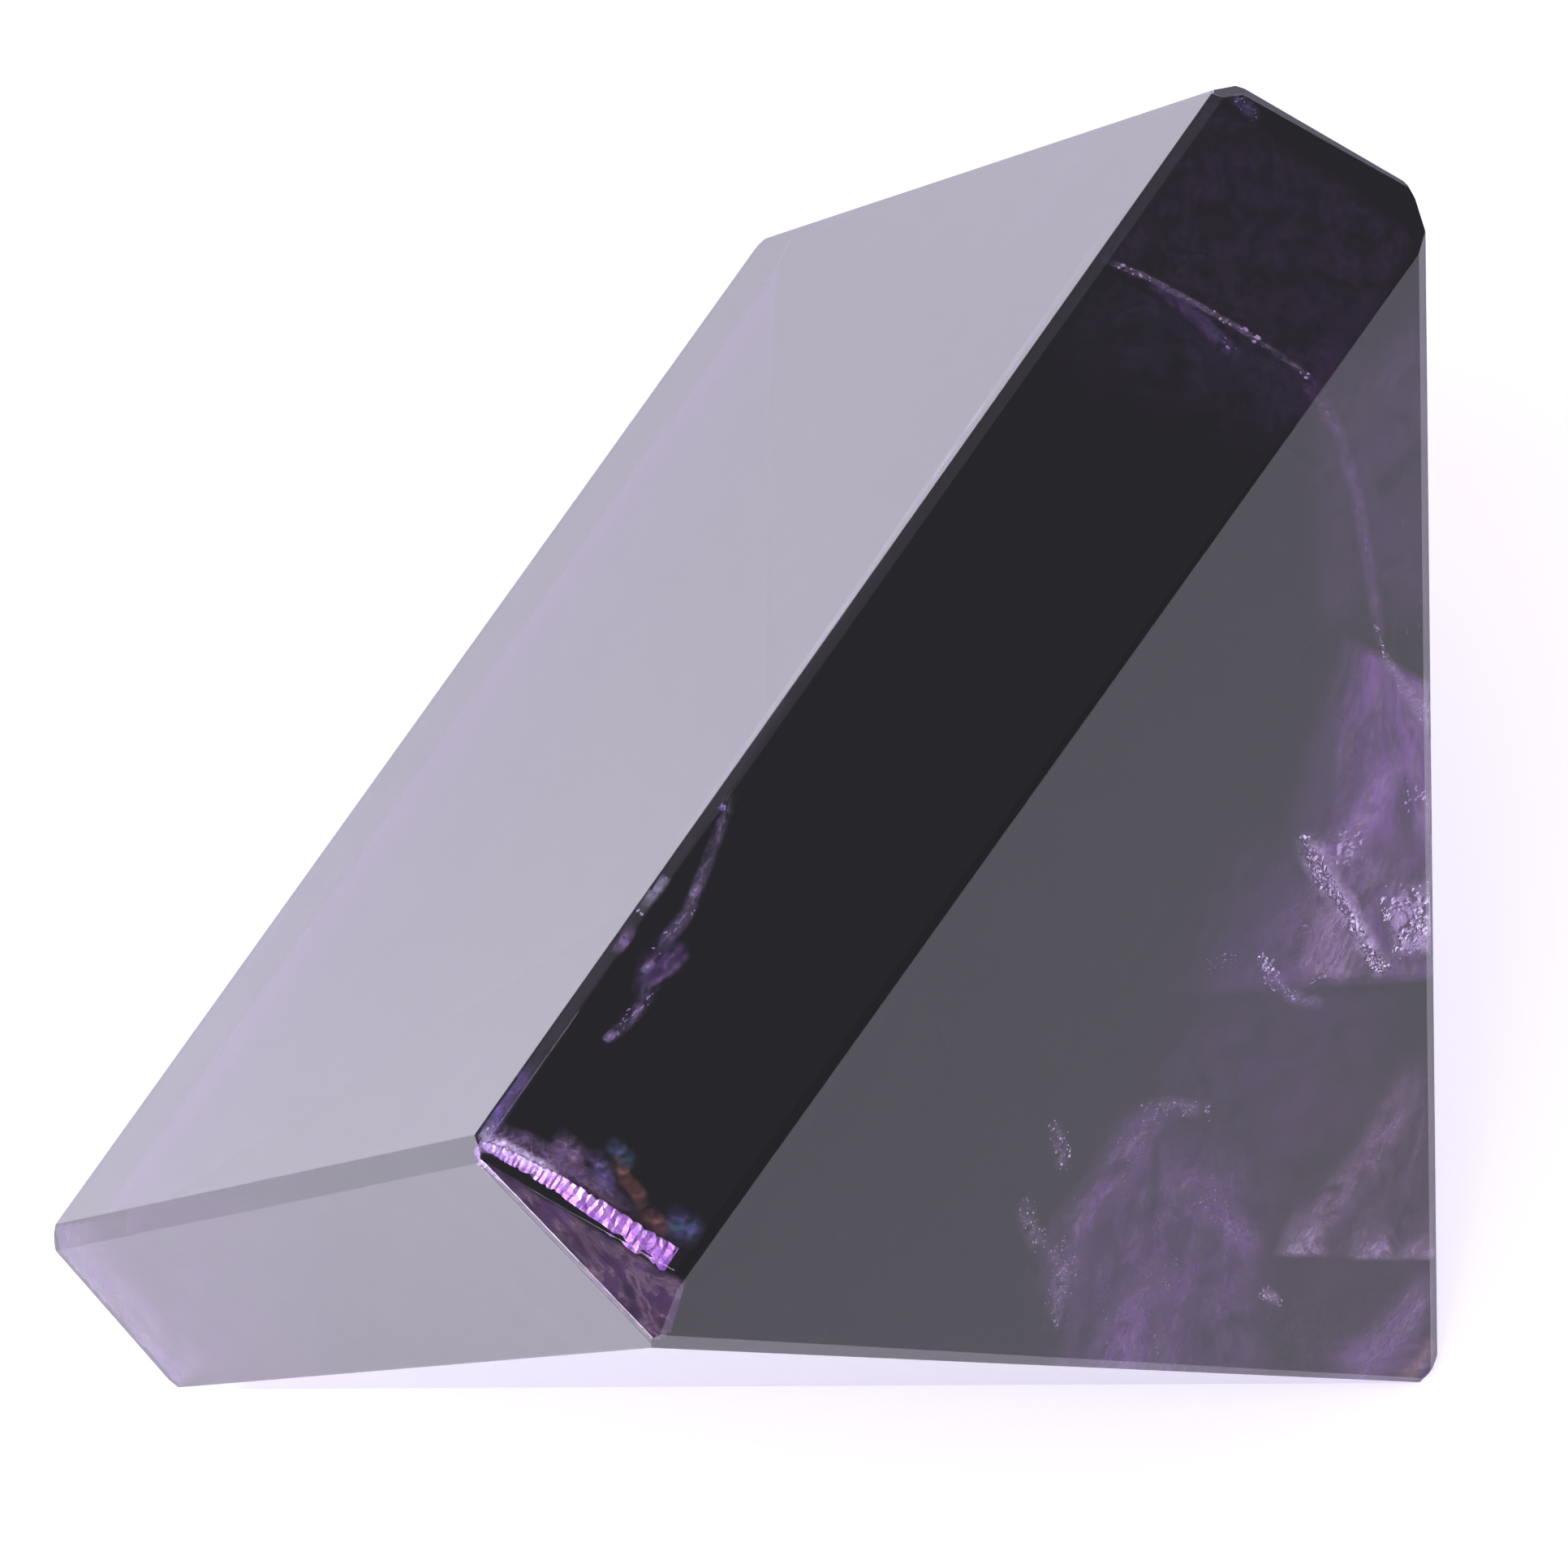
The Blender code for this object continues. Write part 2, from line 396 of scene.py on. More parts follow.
def veil_material(name, colours, strength, streak, kind, metallic):
    """A cloudy healed fracture: one noise opens it, a finer one grains it and another colours it."""
    material, tree, shader = new_material(name)
    coords = sheet_coords(tree)
    opening, full, least = kind
    stretch = (*streak, 1.0)
    clouds = add_noise(tree, coords, stretch, CLOUD_NOISE)
    grain_stretch = tuple(GRAIN_FINENESS * part for part in stretch)
    grain = add_noise(tree, coords, grain_stretch, GRAIN_NOISE)
    body = add_ramp(tree, clouds, ((opening, 0.0), (full, 1.0)))
    specks = add_ramp(tree, grain, ((0.30, least), (0.70, 1.0)))
    cover = tree.nodes.new("ShaderNodeAttribute")
    cover.attribute_name = "cover"
    alpha = product(tree, product(tree, body, specks), cover.outputs["Fac"])
    tree.links.new(product(tree, alpha, strength), shader.inputs["Alpha"])
    hue_stretch = tuple(HUE_FINENESS * part for part in stretch)
    hues = add_noise(tree, coords, hue_stretch, HUE_NOISE)
    hue = add_ramp(tree, hues, spread_stops(colours, 0.34, 0.32))
    tree.links.new(hue, shader.inputs["Base Color"])
    shader.inputs["Roughness"].default_value = VEIL_ROUGHNESS - METALLIC_GLOSS * metallic
    shader.inputs["Metallic"].default_value = metallic
    return material


def film_material(name, colours, scale, metallic, roughness):
    """A gas film in a crack, which mirrors like metal, in colours that change from place to place."""
    material, tree, shader = new_material(name)
    patches = add_noise(tree, object_coords(tree), scale, FILM_NOISE)
    hue = add_ramp(tree, patches, spread_stops(colours, 0.32, 0.36))
    tree.links.new(hue, shader.inputs["Base Color"])
    gloss = add_ramp(tree, patches, ((0.3, roughness * 0.6), (0.7, roughness * 1.4)))
    tree.links.new(gloss, shader.inputs["Roughness"])
    shader.inputs["Metallic"].default_value = metallic
    return material


# ---------------------------------------- sheets, veils and flakes
WAVE_LENGTH = 3.0 * MM
FRAME_STEP = 0.01                    # along and across a sheet, to find which way it runs
LAST_SPOT = 0.9999                   # keeps the end of a strand on its last leg


class Sheet:
    """A sheet in the stone, read at u along it and v across it, both from 0 to 1.

    Its corners or path are spots: a pixel and a depth in mm below a side or, on a side that doesn't
    show, mm along and up the side and the depth. It waves by warp mm, in a way its seed chooses.
    """

    def __init__(self, side, warp=0.0, seed=0):
        self.side = side
        self.warp = warp
        self.seed = seed

    def place(self, u, v):
        """Where the sheet is in the stone."""
        spot = self.spot(u, v)
        find = behind if self.side in UNSEEN else under
        flat = find(self.side, spot.to_2d(), spot.z)
        wave = noise.noise(flat / WAVE_LENGTH + Vector((self.seed, 0, 0)))
        return flat - sides[self.side][1] * (self.warp * MM * wave)

    def frame(self, u, v):
        """The place, the direction along the sheet and its normal."""
        here = self.place(u, v)
        along = (self.place(u + FRAME_STEP, v) - here).normalized()
        down = (self.place(u, v + FRAME_STEP) - here).normalized()
        return here, along, along.cross(down).normalized()


class Patch(Sheet):
    """A sheet between four spots."""

    def __init__(self, side, corners, warp=0.0, seed=0):
        super().__init__(side, warp, seed)
        self.corners = [Vector(corner) for corner in corners]

    def spot(self, u, v):
        start = self.corners[0].lerp(self.corners[1], u)
        end = self.corners[3].lerp(self.corners[2], u)
        return start.lerp(end, v)


class Strand(Sheet):
    """A strip along a path of spots, with its widths at both ends in pixels.

    It gets dip mm deeper from edge to edge.
    """

    def __init__(self, side, path, widths, dip=0.0, warp=0.0, seed=0):
        super().__init__(side, warp, seed)
        self.path = [Vector(point) for point in path]
        self.widths = widths
        self.dip = dip

    def spot(self, u, v):
        reach = min(max(u, 0.0), LAST_SPOT) * (len(self.path) - 1)
        leg = int(reach)
        ends = self.path[max(leg - 1, 0):leg + 3]
        start, end = self.path[leg], self.path[leg + 1]
        share = reach - leg
        point = start.lerp(end, share)
        way = (ends[-1] - ends[0]).to_2d().normalized()
        aside = (v - 0.5) * (self.widths[0] + (self.widths[1] - self.widths[0]) * u)
        return point + Vector((-way.y * aside, way.x * aside, (v - 0.5) * self.dip))


def add_piece(name, points, faces, material):
    """A visible piece, which rides the stone's body and adds to its look."""
    mesh = bpy.data.meshes.new(name)
    mesh.from_pydata(points, [], faces)
    mesh.materials.append(material)
    mesh.validate()
    piece = bpy.data.objects.new(name, mesh)
    bpy.context.scene.collection.objects.link(piece)
    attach(piece, "root")
    return piece


def smooth_step(value):
    """From 0 to 1 with soft ends."""
    value = min(1.0, max(0.0, value))
    return value * value * (3.0 - 2.0 * value)


VEIL_STEP = 0.3 * MM
FEWEST_STEPS = 4
OUTSIDE = -1.0                       # the cover where a veil would leave the stone


def add_veil(name, sheet, colours, strength, streak, fade, kind=FOG, metallic=0.0, sink=0.0):
    """A thin cloudy sheet.

    streak is how fine its clouds are along and across it, per mm. fade is the share of the sheet
    over which it fades in from its start, its end and its two edges. It lies sink mm deeper than
    the sheet.
    """
    material = veil_material(name, colours, strength, streak, kind, metallic)
    sunk = sides[sheet.side][1] * (sink * MM)
    width = (sheet.place(1.0, 0.5) - sheet.place(0.0, 0.5)).length
    height = (sheet.place(0.5, 1.0) - sheet.place(0.5, 0.0)).length
    columns = max(FEWEST_STEPS, round(width / VEIL_STEP))
    rows = max(FEWEST_STEPS, round(height / VEIL_STEP))
    left, right, top, bottom = fade
    points, covers, coords = [], [], []
    for row in range(rows + 1):
        for column in range(columns + 1):
            u, v = column / columns, row / rows
            place = sheet.place(u, v) - sunk
            cover = smooth_step(u / left) * smooth_step((1 - u) / right)
            cover *= smooth_step(v / top) * smooth_step((1 - v) / bottom)
            points.append(place)
            covers.append(cover if cover_over(place) > LEAST_COVER else OUTSIDE)
            coords.append((u * width / MM, v * height / MM))
    faces = []
    for row in range(rows):
        for column in range(columns):
            first = row * (columns + 1) + column
            face = (first, first + 1, first + columns + 2, first + columns + 1)
            if min(covers[corner] for corner in face) >= 0.0:
                faces.append(face)
    used = sorted({corner for face in faces for corner in face})
    renumber = {old: new for new, old in enumerate(used)}
    faces = [tuple(renumber[corner] for corner in face) for face in faces]
    piece = add_piece(name, [points[i] for i in used], faces, material)
    mesh = piece.data
    attribute = mesh.attributes.new("cover", "FLOAT", "POINT")
    attribute.data.foreach_set("value", [covers[i] for i in used])
    layer = mesh.uv_layers.new(name="sheet")
    for loop in mesh.loops:
        layer.data[loop.index].uv = coords[used[loop.vertex_index]]
    mesh.shade_smooth()


FLAKE_CORNERS = 5
FLAKE_THICKNESS = 0.12               # against its length
FLAKE_TWIST = 0.3                    # radians away from its sheet's direction, about
FLAKE_DRIFT = 0.3                    # of its corners, against the gap between them
LEAST_REACH = 0.6                    # of a corner, against the farthest
CLUMP_SCALE = 450.0                  # flakes gather in clumps of about 2 mm
NO_CLUMPS = -1.0
SHEET_END = 0.98                     # leaves room for a frame step at the end of a sheet


def flake(place, along, flat, length, width, thickness, draw):
    """Corners and faces of one small closed plate."""
    across = flat.cross(along).normalized()
    corners = []
    for corner in range(FLAKE_CORNERS):
        turn = 2 * pi * (corner + draw.uniform(-FLAKE_DRIFT, FLAKE_DRIFT)) / FLAKE_CORNERS
        reach = draw.uniform(LEAST_REACH, 1.0) / 2
        corners.append(place + (along * (length * cos(turn)) + across * (width * sin(turn))) * reach)
    corners.append(place + flat * (thickness / 2))
    corners.append(place - flat * (thickness / 2))
    faces = []
    for corner in range(FLAKE_CORNERS):
        after = (corner + 1) % FLAKE_CORNERS
        faces.append((corner, after, FLAKE_CORNERS))
        faces.append((after, corner, FLAKE_CORNERS + 1))
    return corners, faces


def add_flakes(name, sheets, count, length, slimness, tilt, material, seed, clumps=NO_CLUMPS):
    """Many small plates in sheets.

    length is the shortest and longest in mm, slimness the range of width against length, and tilt
    how far they lean out of the sheet. A higher value of clumps gathers them in fewer clumps.
    """
    draw = random.Random(seed)
    points, faces = [], []
    for number in range(count):
        sheet = sheets[number % len(sheets)]
        spot = (SHEET_END * draw.random(), (draw.random() + draw.random()) / 2)
        place, along, flat = sheet.frame(*spot)
        size = length[0] * (length[1] / length[0]) ** (draw.random() ** 2) * MM
        lean = Vector([draw.gauss(0, tilt) for axis in range(3)])
        flat = (flat + lean).normalized()
        along = (along - flat * along.dot(flat)).normalized()
        along = Matrix.Rotation(draw.gauss(0, FLAKE_TWIST), 3, flat) @ along
        width = size * draw.uniform(*slimness)
        thickness = size * FLAKE_THICKNESS
        if cover_over(place) < LEAST_COVER + size / 2 or noise.noise(place * CLUMP_SCALE) < clumps:
            continue
        corners, flake_faces = flake(place, along, flat, size, width, thickness, draw)
        start = len(points)
        points.extend(corners)
        faces.extend(tuple(start + corner for corner in face) for face in flake_faces)
    add_piece(name, points, faces, material)


PLEAT_ROWS = 5
PLEAT_THICKNESS = 0.04 * MM
UNEVENNESS = 0.35                    # of the pleats, against their width
RAGGEDNESS = 0.16                    # of the crack's two long edges, against its width
LEAST_FOLD = 0.2                     # of a pleat, against the highest


def add_pleats(name, sheet, pleats, height, material, seed):
    """A crack folded like a fan across its length, as a closed slab. height is in mm.

    Both faces of the slab take the same draws.
    """
    draw = random.Random(seed)
    rows = PLEAT_ROWS
    columns = [(number + draw.uniform(-UNEVENNESS, UNEVENNESS)) / pleats for number in range(1, pleats)]
    columns = [0.0, *columns, 1.0]
    grids = []
    for lift in (0.0, PLEAT_THICKNESS):
        draw = random.Random(seed)
        grid = []
        for number, u in enumerate(columns):
            for row in range(rows):
                v = row / (rows - 1)
                ragged = draw.uniform(-RAGGEDNESS, RAGGEDNESS) if row in (0, rows - 1) else 0.0
                skew = draw.uniform(-UNEVENNESS, UNEVENNESS) / pleats
                spot = (min(max(u + skew, 0.0), SHEET_END), min(max(v + ragged, 0.0), 1.0))
                place, along, flat = sheet.frame(*spot)
                fold = height * (1 if number % 2 else -1) * draw.uniform(LEAST_FOLD, 1.0) * MM
                grid.append(place + flat * (fold + lift))
        grids.append(grid)
    points = grids[0] + grids[1]
    layer = len(grids[0])
    faces = []
    last = len(columns) - 1
    for column in range(last):
        for row in range(rows - 1):
            first = column * rows + row
            quad = (first, first + rows, first + rows + 1, first + 1)
            faces.append(quad)
            faces.append(tuple(layer + corner for corner in reversed(quad)))
    rim = list(range(rows))
    rim += [column * rows + rows - 1 for column in range(1, last + 1)]
    rim += [last * rows + row for row in range(rows - 2, -1, -1)]
    rim += [column * rows for column in range(last - 1, 0, -1)]
    for here, after in zip(rim, rim[1:] + rim[:1]):
        faces.append((here, after, layer + after, layer + here))
    add_piece(name, points, faces, material)


# ---------------------------------------- the stone
def make_stone():
    """The visible stone, in place of the CAD node."""
    shape = rounded_stone()
    shape.materials.append(amethyst_material())
    body = bpy.data.objects.new("amethyst_body", shape)
    bpy.context.scene.collection.objects.link(body)
    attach(body, "root")
    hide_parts(NODE)


# ---------------------------------------- what is sealed in
WHITE = (0.96, 0.94, 1.0)
PALE = (0.88, 0.82, 0.95)
ICE = (0.72, 0.78, 1.0)
LAVENDER = (0.72, 0.58, 0.88)
VIOLET = (0.45, 0.22, 0.62)
PINK = (0.92, 0.72, 0.80)
PLUM = (0.50, 0.24, 0.46)
TEAL = (0.10, 0.40, 0.42)
ORANGE = (0.90, 0.50, 0.20)
RUST = (0.52, 0.16, 0.16)
BLUE = (0.30, 0.28, 0.80)
MAUVE = (0.74, 0.45, 0.98)
DUSK = (0.42, 0.24, 0.90)
LILAC = (0.78, 0.54, 1.0)
WINE = (0.62, 0.24, 0.56)
FOG_HUES = (MAUVE, LILAC, PALE)


def add_upper_cloud():
    """The violet cloud that shows through the top slope half-way to the tip, and its torn edge."""
    side = "top slope"
    cloud_corners = ((1636, 762, 1.7), (1782, 850, 1.5), (1782, 1080, 1.6), (1545, 1085, 2.0))
    cloud = Patch(side, cloud_corners, 0.5, 1)
    add_veil("upper_cloud", cloud, FOG_HUES, 0.95, (0.30, 0.16), (0.50, 0.02, 0.06, 0.30))
    lower_corners = ((1590, 1000, 1.9), (1782, 1000, 1.8), (1782, 1210, 1.6), (1440, 1230, 1.9))
    lower = Patch(side, lower_corners, 0.4, 2)
    add_veil("lower_cloud", lower, FOG_HUES, 0.58, (0.45, 0.25), (0.45, 0.02, 0.35, 0.06))
    dusk_corners = ((1500, 1000, 2.4), (1660, 990, 2.3), (1690, 1215, 2.3), (1400, 1240, 2.4))
    dusk = Patch(side, dusk_corners, 0.3, 51)
    add_veil("dusk_haze", dusk, (DUSK, VIOLET, MAUVE), 0.30, (0.3, 0.3), (0.40, 0.30, 0.45, 0.15))
    sheen_path = ((1745, 905, 1.1), (1705, 960, 1.1), (1680, 1010, 1.1), (1650, 1045, 1.1),
                  (1615, 1072, 1.1))
    sheen = Strand(side, sheen_path, (46, 62), 0.2, 0.1, 3)
    add_veil("cloud_sheen", sheen, FOG_HUES, 1.0, (0.8, 0.8), (0.30, 0.20, 0.40, 0.40))
    rim_path = ((1700, 800, 1.0), (1716, 832, 1.0), (1745, 872, 0.9), (1775, 905, 0.9))
    rim = Strand(side, rim_path, (16, 40), 0.2)
    add_veil("cloud_rim", rim, (PALE, WHITE), 0.85, (0.8, 0.8), (0.10, 0.05, 0.05, 0.60), WISP)

    film = film_material("edge_film", (LAVENDER, PALE, WHITE), 900.0, 0.9, 0.2)
    torn_path = ((1694, 770, 0.8), (1704, 800, 0.8), (1716, 832, 0.7), (1738, 868, 0.7))
    torn = [
        Strand(side, torn_path, (6, 12), 0.1),
        Strand(side, ((1738, 868, 0.7), (1760, 890, 0.6), (1774, 900, 0.6)), (14, 26), 0.1),
    ]
    add_flakes("cloud_edge", torn, 240, (0.05, 0.28), (0.25, 0.6), 0.10, film, 21)
    trail_path = ((1622, 478, 1.2), (1650, 540, 1.2), (1672, 610, 1.2), (1688, 700, 1.1),
                  (1702, 800, 1.0))
    trail = Strand(side, trail_path, (26, 18), 0.3)
    add_veil("grey_trail", trail, FOG_HUES, 0.38, (0.5, 0.7), (0.05, 0.10, 0.40, 0.40), WISP)
    add_flakes("trail_flakes", [trail], 160, (0.05, 0.20), (0.3, 0.7), 0.25, film, 22, 0.05)
    haze_corners = ((1600, 470, 1.6), (1760, 330, 1.6), (1775, 800, 1.6), (1600, 800, 2.2))
    haze = Patch(side, haze_corners, 0.4, 6)
    add_veil("upper_haze", haze, (LAVENDER, MAUVE), 0.22, (0.3, 0.4), (0.30, 0.05, 0.20, 0.20))


def add_bright_patch():
    """The bright fractures in the cloud: a long streak, blocks, sparkles, fibres and an arc."""
    side = "top slope"
    mirror = film_material("mirror_film", (LAVENDER, PALE, WHITE, WHITE), 1200.0, 1.0, 0.14)
    soft = film_material("soft_film", (LAVENDER, PALE), 900.0, 0.7, 0.3)
    pink = film_material("pink_film", (PINK, PALE), 700.0, 0.5, 0.4)
    ice = film_material("ice_film", (LAVENDER, ICE, WHITE), 800.0, 0.8, 0.25)

    streak = [
        Strand(side, ((1604, 1028, 0.7), (1618, 1056, 0.7), (1630, 1082, 0.7)), (8, 34), 0.1),
        Strand(side, ((1630, 1082, 0.7), (1644, 1100, 0.7), (1656, 1116, 0.65)), (34, 12), 0.1),
        Strand(side, ((1656, 1114, 0.65), (1672, 1146, 0.6), (1690, 1180, 0.6)), (11, 14), 0.1),
        Strand(side, ((1688, 1176, 0.6), (1697, 1188, 0.6), (1706, 1198, 0.6)), (24, 20), 0.1),
    ]
    add_flakes("streak", streak, 240, (0.30, 0.95), (0.25, 0.55), 0.05, mirror, 23)
    glow_path = ((1600, 1020, 0.9), (1632, 1080, 0.9), (1664, 1128, 0.85), (1690, 1172, 0.8),
                 (1710, 1204, 0.8))
    glow = Strand(side, glow_path, (46, 30), 0.1)
    add_veil("streak_veil", glow, (LAVENDER, PALE, WHITE), 0.90, (0.9, 0.9), (0.15, 0.10, 0.45, 0.45),
             WISP, metallic=0.9)
    block_corners = ((1646, 1022, 0.8), (1682, 1020, 0.8), (1678, 1064, 0.8), (1646, 1074, 0.8))
    block = Patch(side, block_corners)
    add_flakes("blocks", [block], 40, (0.30, 0.80), (0.4, 0.8), 0.08, soft, 24, -0.25)
    add_veil("block_veil", block, (LAVENDER, PALE, WHITE), 0.85, (0.9, 0.9), (0.35, 0.35, 0.35, 0.35),
             WISP, metallic=0.8, sink=0.3)
    filling_corners = ((1602, 1022, 1.2), (1712, 1010, 1.1), (1716, 1206, 1.0), (1596, 1206, 1.3))
    filling = Patch(side, filling_corners, 0.1, 52)
    add_veil("shattered", filling, (PINK, LAVENDER, PALE), 0.36, (1.1, 0.9), (0.25, 0.25, 0.25, 0.06),
             WISP, metallic=0.5)
    sparkle_corners = ((1694, 1088, 0.45), (1774, 1078, 0.4), (1774, 1182, 0.4), (1716, 1186, 0.45))
    sparkle = Patch(side, sparkle_corners, 0.05, 8)
    add_flakes("sparkles", [sparkle], 300, (0.16, 0.46), (0.6, 1.0), 0.06, mirror, 25, -0.12)
    far_corners = ((1728, 955, 0.8), (1774, 955, 0.8), (1774, 1010, 0.8), (1732, 1010, 0.8))
    far = Patch(side, far_corners, 0.05, 8)
    add_flakes("dim_sparkles", [far], 26, (0.16, 0.36), (0.6, 1.0), 0.10, soft, 53)
    add_veil("sparkle_veil", sparkle, (LAVENDER, PALE), 0.75, (1.2, 1.2), (0.30, 0.05, 0.30, 0.20), WISP,
             metallic=0.9, sink=0.25)
    fibres_corners = ((1580, 1206, 1.1), (1640, 1085, 1.0), (1690, 1150, 1.0), (1660, 1215, 1.0))
    fibres = Patch(side, fibres_corners, 0.1, 9)
    add_veil("fibre_veil", fibres, (PINK, PALE, PINK), 0.60, (0.5, 2.0), (0.20, 0.25, 0.30, 0.10), WISP,
             metallic=0.4)
    threads_corners = ((1596, 1096, 1.2), (1650, 1130, 1.2), (1680, 1206, 1.2), (1596, 1206, 1.3))
    threads = Patch(side, threads_corners, 0.1, 9)
    add_veil("thread_veil", threads, (PLUM, PINK, PALE), 0.50, (1.8, 0.5), (0.30, 0.30, 0.30, 0.08), WISP,
             metallic=0.4)
    add_flakes("fibres", [fibres, threads], 70, (0.30, 0.90), (0.08, 0.20), 0.08, pink, 26)
    arc_path = ((1554, 1180, 1.0), (1566, 1202, 1.0), (1586, 1224, 0.9), (1612, 1234, 0.9),
                (1636, 1238, 0.9))
    arc = Strand(side, arc_path, (26, 22), 0.2)
    add_flakes("arc", [arc], 130, (0.12, 0.45), (0.3, 0.7), 0.10, ice, 27, -0.05)
    add_veil("arc_veil", arc, (BLUE, LAVENDER, ICE), 0.75, (0.8, 0.8), (0.25, 0.20, 0.45, 0.45), WISP)
    hook_path = ((1612, 1214, 0.9), (1630, 1202, 0.9), (1644, 1190, 0.9), (1654, 1176, 0.9))
    hook = Strand(side, hook_path, (14, 8), 0.1)
    add_flakes("hook", [hook], 60, (0.15, 0.50), (0.2, 0.5), 0.08, soft, 55)
    tip = Strand(side, ((1554, 1176, 0.6), (1560, 1188, 0.6), (1566, 1200, 0.6)), (12, 12), 0.1)
    add_flakes("arc_tip", [tip], 18, (0.20, 0.45), (0.5, 0.9), 0.06, mirror, 56)
    dots = Strand(side, ((1488, 1192, 0.9), (1506, 1184, 0.9), (1526, 1180, 0.9)), (30, 26), 0.1)
    add_flakes("dots", [dots], 34, (0.10, 0.30), (0.3, 0.6), 0.15, soft, 28)


def add_lower_fog():
    """Violet fog, curved wisps and white specks near the tip."""
    side = "top slope"
    grain = film_material("grain_film", (LAVENDER, PALE, WHITE), 1500.0, 0.9, 0.25)
    fog_corners = ((1350, 1320, 1.9), (1600, 1400, 1.9), (1590, 1725, 1.9), (1240, 1725, 1.9))
    fog = Patch(side, fog_corners, 0.4, 10)
    add_veil("lower_fog", fog, (VIOLET, MAUVE, PALE), 0.50, (0.40, 0.30), (0.35, 0.30, 0.30, 0.05))
    link_corners = ((1440, 1180, 2.3), (1775, 1215, 2.1), (1650, 1450, 2.3), (1320, 1440, 2.4))
    link = Patch(side, link_corners, 0.3, 11)
    add_veil("fog_link", link, (DUSK, VIOLET, PLUM), 0.30, (0.3, 0.4), (0.35, 0.30, 0.15, 0.30))
    plum_corners = ((1530, 1240, 2.0), (1785, 1240, 1.8), (1785, 1740, 1.8), (1480, 1740, 2.0))
    plum = Patch(side, plum_corners, 0.3, 61)
    add_veil("plum_haze", plum, (PLUM, WINE, PLUM), 0.20, (0.3, 0.4), (0.30, 0.02, 0.25, 0.02))
    left_path = ((1300, 1640, 1.4), (1306, 1570, 1.4), (1326, 1508, 1.4), (1374, 1448, 1.4),
                 (1404, 1394, 1.4), (1440, 1366, 1.4))
    right_path = ((1425, 1430, 1.5), (1474, 1464, 1.5), (1514, 1508, 1.5), (1552, 1552, 1.4))
    low_path = ((1470, 1550, 1.5), (1412, 1600, 1.5), (1386, 1650, 1.5), (1376, 1710, 1.5))
    wisps = {
        "left_wisp": Strand(side, left_path, (90, 60), 0.3),
        "right_wisp": Strand(side, right_path, (90, 50), 0.3),
        "low_wisp": Strand(side, low_path, (90, 110), 0.3),
    }
    for name, wisp in wisps.items():
        add_veil(name, wisp, FOG_HUES, 0.78, (0.4, 0.5), (0.25, 0.15, 0.48, 0.48), TUFTS)
    add_flakes("wisp_grain", list(wisps.values()), 800, (0.06, 0.18), (0.4, 1.0), 0.10, grain, 29, 0.1)

    long_path = ((1318, 1536, 0.7), (1314, 1566, 0.7), (1304, 1600, 0.7), (1304, 1644, 0.7))
    specks = [
        Strand(side, ((1300, 1380, 0.8), (1308, 1410, 0.8), (1312, 1446, 0.8)), (26, 22), 0.1),
        Strand(side, ((1262, 1476, 0.9), (1270, 1510, 0.9), (1288, 1548, 0.9)), (30, 34), 0.1),
        Strand(side, long_path, (56, 14), 0.1),
        Strand(side, ((1406, 1376, 0.9), (1440, 1364, 0.9), (1500, 1370, 0.9)), (34, 30), 0.1),
    ]
    for number, strand in enumerate(specks):
        add_veil(f"speck_haze_{number}", strand, (ICE, PALE, WHITE), 0.50, (1.3, 1.3),
                 (0.25, 0.25, 0.45, 0.45), WISP, sink=0.3)
    blob = Strand(side, ((1554, 1590, 0.7), (1566, 1598, 0.7), (1582, 1606, 0.7)), (22, 18))
    add_veil("white_blob", blob, (PALE, WHITE), 0.60, (1.2, 1.2), (0.45, 0.45, 0.45, 0.45), BRUSHED,
             metallic=0.5, sink=0.1)
    add_flakes("white_specks", [*specks, blob], 220, (0.08, 0.26), (0.5, 1.0), 0.09, grain, 30)


